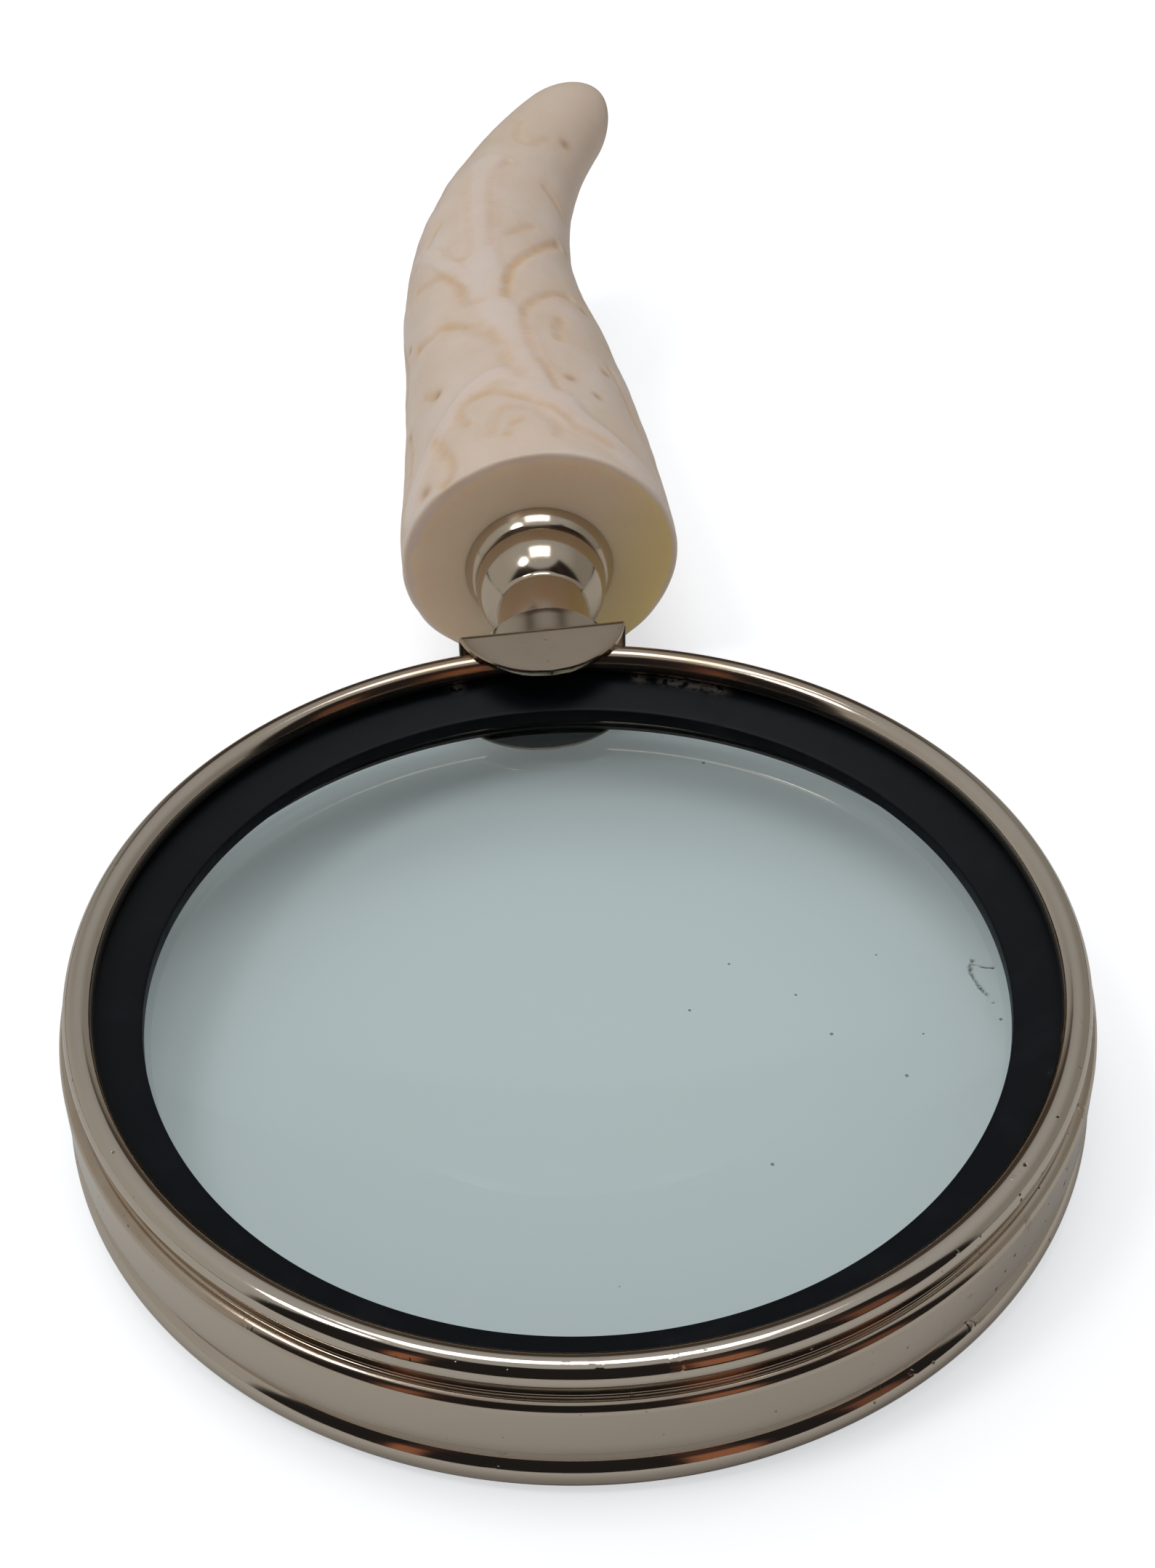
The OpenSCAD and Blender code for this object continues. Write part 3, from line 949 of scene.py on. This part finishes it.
# Carved cuts as [(mm along, degrees round)], width, depth and stain. 90 degrees is the top.
CUTS = [
    ([(88, 86), (84, 93), (78, 92), (68, 89), (60, 91)], 1.5, 0.32, 0.5),
    ([(84, 114), (74, 107), (64, 104), (58, 106), (59, 116), (63, 121)], 1.5, 0.32, 0.5),
    ([(44, 91), (48, 88), (53, 81), (58, 68), (63, 54), (69, 36)], 1.7, 0.5, 1.0),
    (
        [(48, 50), (46, 64), (43, 75), (40, 82), (36, 85), (31, 85), (26, 83), (22, 80), (17, 77)],
        1.6, 0.45, 0.75,
    ),
    ([(58, 146), (57, 136), (56, 125), (53, 118), (48, 114), (45, 112), (44, 105)], 1.7, 0.4, 0.7),
    ([(43, 150), (42, 138), (42, 130), (40, 120), (38, 114)], 1.7, 0.45, 0.85),
    ([(38, 114), (34, 104), (30, 98), (25, 96), (21, 93)], 2.6, 0.3, 0.5),
    (
        [(12, 119), (15, 122), (17, 120), (18, 114), (18, 106), (16, 98), (14, 90), (12, 82),
         (10, 77), (7, 70), (5, 58)],
        1.6, 0.42, 0.7,
    ),
    ([(6, 101), (8, 99), (9, 95)], 1.4, 0.35, 0.8),
    ([(7, 107), (11, 105), (13, 99), (12, 90), (9, 83), (7, 80), (5, 80)], 2.0, 0.3, 0.45),
    ([(12, 135), (8, 131), (4, 127), (2, 129), (1, 133)], 1.8, 0.4, 0.8),
    ([(85, 48), (84, 37), (83, 27)], 1.6, 0.3, 0.6),
    ([(64, 78), (69, 60)], 1.6, 0.3, 0.6),
    ([(32, 69), (35, 68), (38, 64)], 1.8, 0.35, 0.8),
    ([(28, 145), (25, 136)], 1.4, 0.35, 0.8),
    ([(72, 130), (66, 140), (64, 152)], 1.5, 0.28, 0.4),
    ([(100, 62), (96, 75), (97, 90), (103, 100)], 1.4, 0.22, 0.35),
    ([(30, 40), (24, 34), (16, 30), (10, 22)], 1.6, 0.35, 0.6),
    ([(52, 30), (44, 24), (36, 22), (30, 12)], 1.6, 0.35, 0.6),
    ([(22, 160), (14, 158), (8, 165), (5, 174)], 1.6, 0.35, 0.6),
    ([(50, 172), (40, 166), (33, 172)], 1.6, 0.35, 0.6),
]

# Stained dots: mm along, degrees round, radius
DOTS = [
    (102, 44, 0.9), (18, 57, 0.6), (25, 135, 0.8), (3, 144, 0.9), (24, 161, 0.6),
    (21, 69, 0.7), (47, 160, 0.6), (27, 46, 0.7), (46, 41, 0.6), (70, 24, 0.6),
]

# Smooth stems left standing: line, half width
STEMS = [
    (
        [(2, 36), (4, 46), (9, 69), (14, 79), (19, 86), (34, 91), (44, 99), (56, 98), (70, 98),
         (88, 103)],
        2.6,
    ),
    ([(19, 88), (22, 100), (21, 112), (16, 128), (8, 146), (3, 160)], 1.5),
    ([(50, 104), (52, 110), (62, 128), (66, 145)], 1.5),
]

# How far the root's edge stands in from its ellipse: degrees round, mm
EDGE_WAVES = [
    (0, 0.1), (28, 0.0), (62, 0.0), (84, 0.25), (101, 0.55), (120, 0.85), (140, 0.7),
    (163, 0.5), (200, 0.2), (245, 0.5), (290, 0.1), (330, 0.4),
]


# How far the skin's colour runs over the cut face, or short of it: degrees round, mm
SKIN_OVER = [
    (0, -1.2), (40, -0.8), (75, -0.4), (100, -0.2), (122, 0.2), (142, 0.3), (165, 0.1),
    (190, -0.4), (220, -1.2), (300, -1.2),
]


# inset is the distance inside the cut face's edge in mm. These stand for it on the skin, less
# the way along, and in the bore.
SKIN_INSET = -3.0
BORE_INSET = 14.0


def distance_to(line_points, at, reach):
    """Distance in mm from each point of at to a line on the handle, or reach where further."""
    way = curve_through(line_points, 1.0)
    way = handle_point(way[:, 0], way[:, 1])
    low, high = way.min(0) - reach, way.max(0) + reach
    near = np.flatnonzero(((at > low) & (at < high)).all(1))
    found = np.full(len(at), float(reach))
    for part in np.array_split(near, max(1, len(near) // 4000)):
        gaps = np.linalg.norm(at[part, None] - way[None], axis=2).min(1)
        found[part] = np.minimum(gaps, reach)
    return found


def carve(s, at):
    """Depth, stain, ground and dot values of the carving at each point of the handle."""
    cut = np.zeros(len(at))
    stain = np.zeros(len(at))
    stem = np.zeros(len(at))
    dots = np.zeros(len(at))
    for half in (0, 180):
        for points, width, depth, strength in CUTS:
            moved = [(STRETCH * x, a + half) for x, a in points]
            off = distance_to(moved, at, 6.0)
            cut = np.maximum(cut, 0.7 * depth * (1 - smooth(0.1 * width, 0.8 * width, off)))
            stain = np.maximum(stain, strength * np.exp(-((off / (0.68 * width)) ** 2)))
            stain = np.maximum(stain, 0.35 * strength * np.exp(-((off / (1.7 * width)) ** 2)))
        for points, half_width in STEMS:
            moved = [(STRETCH * x, a + half) for x, a in points]
            off = distance_to(moved, at, 6.0)
            stem = np.maximum(stem, 1 - smooth(0.55 * half_width, 1.35 * half_width, off))
        for x, a, radius in DOTS:
            off = np.linalg.norm(at - handle_point(STRETCH * x, a + half), axis=1)
            dots = np.maximum(dots, 0.75 * np.exp(-((off / (1.15 * radius)) ** 2)))
    plain_tip = smooth(92, 112, s)
    ground = (1 - stem) * (1 - 0.85 * plain_tip)
    lumps = wobble(at, 7.0, 1)
    ripples = wobble(at, 2.2, 2)
    sunk = ground * (0.22 + 0.12 * lumps) + 0.05 * (1 + ripples) * ground
    depth = sunk + cut * (1 - 0.5 * stem) + 0.3 * dots + 0.05 * (1 + lumps)
    stain = np.clip(stain * (0.85 + 0.3 * ripples), 0, 1)
    ground = np.clip(ground * (0.55 + 0.55 * lumps) + 0.15 * ripples, 0, 1)
    return depth, stain, ground, dots


def make_handle():
    """One skin: the carved horn, its flat cut face and the blind bore for the insert."""
    sides = 288
    edge_steps, body_steps, tip_steps, face_rings = 6, 284, 26, 10
    stations = np.concatenate(
        [
            ROOT_EDGE * (1 - np.cos(np.radians(np.linspace(0, 90, edge_steps + 1)))),
            np.linspace(ROOT_EDGE, HANDLE_LEN - TIP_ROUND, body_steps + 1)[1:],
            HANDLE_LEN
            - TIP_ROUND * (1 - np.sin(np.radians(np.linspace(0, 90, tip_steps + 1)[1:-1]))),
        ]
    )
    around = np.arange(sides) * 360 / sides
    s, a = np.meshgrid(stations, around, indexing="ij")
    skin = handle_point(s, a)
    along = np.gradient(skin, axis=0)
    across = np.roll(skin, -1, 1) - np.roll(skin, 1, 1)
    outward = np.cross(across, along)
    outward /= np.linalg.norm(outward, axis=2, keepdims=True)
    middle = np.stack([*centre_line(s)], -1)
    flip = np.sign(((skin - middle) * outward).sum(2, keepdims=True))
    outward = (outward * flip).reshape(-1, 3)
    at, s, a = skin.reshape(-1, 3), s.ravel(), a.ravel()

    depth, stain, ground, dots = carve(s, at)
    wave_at, wave = zip(*EDGE_WAVES)
    edge_in = np.interp(a, [*wave_at, 360], [*wave, wave[0]])
    flat_in = np.stack([*centre_line(s)], -1) - at
    flat_in[:, 1] = 0
    flat_in /= np.maximum(np.linalg.norm(flat_in, axis=1, keepdims=True), 1e-6)
    near_root = 1 - smooth(0.5, 6.0, s)
    fade = smooth(0.0, 0.7, s)
    at = at - outward * (depth * (0.35 + 0.65 * fade))[:, None]
    at = at + flat_in * (edge_in * near_root)[:, None]
    at[:, 1] = np.maximum(at[:, 1], ROOT_Y)

    rim_ring = at[:sides]
    bore_c = np.array([0, ROOT_Y, GLASS_Z])
    turn = np.radians(around)
    bore_dir = np.stack([np.cos(turn), 0 * turn, np.sin(turn)], -1)
    mouth = bore_c + INSERT_BORE_R * bore_dir
    extra = [rim_ring + (mouth - rim_ring) * share for share in np.linspace(0, 1, face_rings + 1)[1:]]
    extra.append(mouth + np.array([0, INSERT_BORE_H, 0]))
    tip = handle_point(HANDLE_LEN, 0) - np.array([0.0, 0.05, 0.0])
    points = np.concatenate([at, *extra, [tip, bore_c + np.array([0, INSERT_BORE_H, 0])]])
    rings = len(stations)
    first_extra = rings * sides
    tip_index = len(points) - 2
    bore_end = len(points) - 1
    faces = []

    def join(one, two):
        for k in range(sides):
            m = (k + 1) % sides
            faces.append((one + k, one + m, two + m, two + k))

    for i in range(rings - 1):
        join(i * sides, (i + 1) * sides)
    previous = 0
    for i in range(len(extra)):
        join(previous, first_extra + i * sides)
        previous = first_extra + i * sides
    for k in range(sides):
        m = (k + 1) % sides
        faces.append(((rings - 1) * sides + k, (rings - 1) * sides + m, tip_index))
        faces.append((previous + k, previous + m, bore_end))

    spare = len(points) - len(at)

    def padded(values, fill):
        return np.concatenate([values, np.full(spare, fill)])

    over_at, over = zip(*SKIN_OVER)
    skin_over = np.interp(around, [*over_at, 360], [*over, over[0]])
    inset = padded(SKIN_INSET - s, BORE_INSET)
    for i in range(face_rings):
        ring = slice(first_extra + i * sides, first_extra + (i + 1) * sides)
        gap = np.linalg.norm(points[ring] - rim_ring, axis=1)
        inset[ring] = gap - skin_over
    inset[:sides] = -skin_over
    inset[tip_index] = SKIN_INSET
    x, z = points[:, 0], points[:, 2] - HANDLE_Z
    lower_right = smooth(2, 16, x * 0.9 - z * 0.35) * smooth(-16, 2, x)
    values = {
        "stain": padded(stain, 0),
        "ground": padded(ground, 0),
        "dots": padded(dots, 0),
        "inset": inset,
        "yellow": lower_right * 0.9,
        "tip": padded(smooth(70, 112, s), 0),
    }
    return make_piece("carved_handle", points, faces, resin, "handle", values, 50)


make_handle()

# ---------------------------------------------------------------- pieces kept from the part

for node, material in (("tie_screw", steel), ("handle_insert", brass)):
    mesh = frame["nodes"][node].data
    mesh.materials.clear()
    mesh.materials.append(material)

# ---------------------------------------------------------------- camera


def direction(azimuth, elevation):
    """A unit vector. Azimuth is measured from +Y towards +X."""
    a, e = math.radians(azimuth), math.radians(elevation)
    return Vector((math.sin(a) * math.cos(e), math.cos(a) * math.cos(e), math.sin(e)))


CAMERA_AZIMUTH = 2.767
CAMERA_DOWN = 37.212
CAMERA_ROLL = -1.243
CAMERA_DISTANCE = 0.2942
CAMERA_TARGET = Vector((0.00246, -0.02887, 0.010))
CAMERA_LENS = 56.745


def make_camera():
    """The photo's camera, as fitted to its outlines by a scratch script."""
    data = bpy.data.cameras.new("camera")
    data.sensor_fit = "AUTO"
    data.sensor_width = 36.0
    data.lens = CAMERA_LENS
    data.clip_start = 0.01
    camera = add_object("camera", data)
    forward = direction(CAMERA_AZIMUTH, -CAMERA_DOWN)
    level = forward.cross(Vector((0, 0, 1))).normalized()
    above = level.cross(forward)
    roll = math.radians(CAMERA_ROLL)
    right = level * math.cos(roll) + above * math.sin(roll)
    up = right.cross(forward)
    axes = Matrix((right, up, -forward)).transposed().to_4x4()
    camera.matrix_world = (Matrix.Translation(CAMERA_TARGET - forward * CAMERA_DISTANCE) @ axes)
    bpy.context.scene.camera = camera


# ---------------------------------------------------------------- floor, room and lamps

FLOOR_SIZE = 8.0
WHITE = (0.93, 0.93, 0.93)
# Along Y in metres: where the mirrored table turns dark in front and behind
DARK_IN_FRONT = (-0.19, -0.24)
DARK_BEHIND = (0.14, 0.2)


def make_floor():
    """A pale table that glows for the camera, and slightly through the glass. In the plating it
    is pale only in the middle."""
    half = FLOOR_SIZE / 2
    mesh = bpy.data.meshes.new("floor")
    corners = [(-half, -half, 0), (half, -half, 0), (half, half, 0), (-half, half, 0)]
    mesh.from_pydata(corners, [], [(0, 1, 2, 3)])
    floor = add_object("floor", mesh)
    material, paint, shader = new_material("floor_paint", Roughness=0.8)
    shader.inputs["Specular IOR Level"].default_value = 0.0
    rays = paint.node("ShaderNodeLightPath").outputs
    split = paint.node("ShaderNodeSeparateXYZ")
    paint.feed(split.inputs[0], paint.place())
    front = paint.ramp(split.outputs[1], *DARK_IN_FRONT)
    back = paint.ramp(split.outputs[1], *DARK_BEHIND)
    ends = paint.math("ADD", front, back, True)
    far_off = paint.times(ends, rays["Is Glossy Ray"], True)
    mirrored = paint.mix(rays["Is Glossy Ray"], (0.8, 0.81, 0.83), (0.72, 0.715, 0.69))
    paint.feed(shader.inputs["Base Color"], paint.mix(far_off, mirrored, (0.03, 0.025, 0.022)))
    paint.feed(shader.inputs["Emission Color"], (0.97, 1, 1.03))
    glow = paint.times(rays["Is Camera Ray"], 0.55)
    through = paint.times(rays["Is Transmission Ray"], 0.07)
    glow = paint.math("ADD", glow, through)
    paint.feed(shader.inputs["Emission Strength"], glow)
    mesh.materials.append(material)


def make_room():
    """The room that the plating mirrors: pale above and at the sides, dark with brown doors in
    front, and a low dark patch behind. The camera sees plain white."""
    world = bpy.data.worlds.new("room")
    bpy.context.scene.world = world
    world.use_nodes = True
    paint = Paint(world.node_tree)
    background = world.node_tree.nodes["Background"]
    way = paint.node("ShaderNodeTexCoord").outputs["Generated"]
    split = paint.node("ShaderNodeSeparateXYZ")
    paint.feed(split.inputs[0], way)
    x, y, z = split.outputs
    level = paint.math("ARCTAN2", x, paint.times(y, -1.0))
    azimuth = paint.times(level, 180 / math.pi)
    wide = paint.math("ABSOLUTE", azimuth)

    left = paint.ramp(azimuth, -67, -62)
    front = paint.times(left, paint.ramp(azimuth, 71, 76, 1.0, 0.0))
    low = paint.ramp(z, 0.84, 0.88, 1.0, 0.0)
    dark = paint.times(front, low)

    def stripe(start, end):
        rise = paint.ramp(azimuth, start - 1.5, start + 1.5)
        fall = paint.ramp(azimuth, end - 1.5, end + 1.5, 1.0, 0.0)
        return paint.times(rise, fall)

    doors = paint.math("MAXIMUM", stripe(16, 28), stripe(-38, -32))
    doors = paint.math("MAXIMUM", doors, paint.times(stripe(46, 56), 0.5))
    doors = paint.times(doors, paint.ramp(z, 0.45, 0.6, 1.0, 0.15))
    sky = paint.mix(paint.ramp(z, 0.45, 0.9), (0.3, 0.29, 0.265), (0.46, 0.46, 0.45))
    side = paint.ramp(x, -0.2, -0.9)
    sky = paint.mix(paint.times(side, 0.5), sky, (0.6, 0.59, 0.55))
    shade = paint.mix(doors, (0.02, 0.018, 0.018), (0.34, 0.14, 0.075))
    behind = paint.times(paint.ramp(wide, 150, 164), paint.ramp(z, 0.57, 0.65, 1.0, 0.0))
    colour = paint.mix(dark, sky, shade)
    colour = paint.mix(behind, colour, (0.07, 0.055, 0.042))
    seen = paint.node("ShaderNodeLightPath").outputs["Is Camera Ray"]
    colour = paint.mix(seen, colour, WHITE)
    paint.feed(background.inputs["Color"], colour)


def make_lamp(name, azimuth, elevation, width, height, radiance):
    """A soft lamp, rectangular at first, at a direction from the object, its size in degrees."""
    distance = 1.3
    middle = Vector((0, 0, 0.02))
    data = bpy.data.lights.new(name, "AREA")
    data.shape = "RECTANGLE"
    data.size = 2 * distance * math.tan(math.radians(width / 2))
    data.size_y = 2 * distance * math.tan(math.radians(height / 2))
    data.energy = radiance * math.pi * data.size * data.size_y
    lamp = add_object(name, data)
    back = direction(azimuth, elevation)
    lamp.location = middle + back * distance
    lamp.rotation_euler = back.to_track_quat("Z", "Y").to_euler()
    lamp.light_linking.receiver_collection = not_on_glass
    return lamp


# The lamps don't light the glass, so they leave no mirror image in it
not_on_glass = bpy.data.collections.new("lit_by_the_room_only")
not_on_glass.objects.link(lens_piece)
not_on_glass.collection_objects[0].light_linking.link_state = "EXCLUDE"

make_camera()
make_floor()
make_room()
make_lamp("lamp_above", 0, 87, 30, 20, 3.0)
lamp_side = make_lamp("lamp_side", -110, 60, 12, 14, 7.0)
lamp_side.data.shape = "ELLIPSE"
window = make_lamp("window", -42, 56, 30, 26, 1.3)
window.visible_glossy = False
fill = make_lamp("fill", 172, 24, 60, 40, 0.42)
fill.visible_glossy = False
bpy.context.scene.view_settings.view_transform = "Standard"
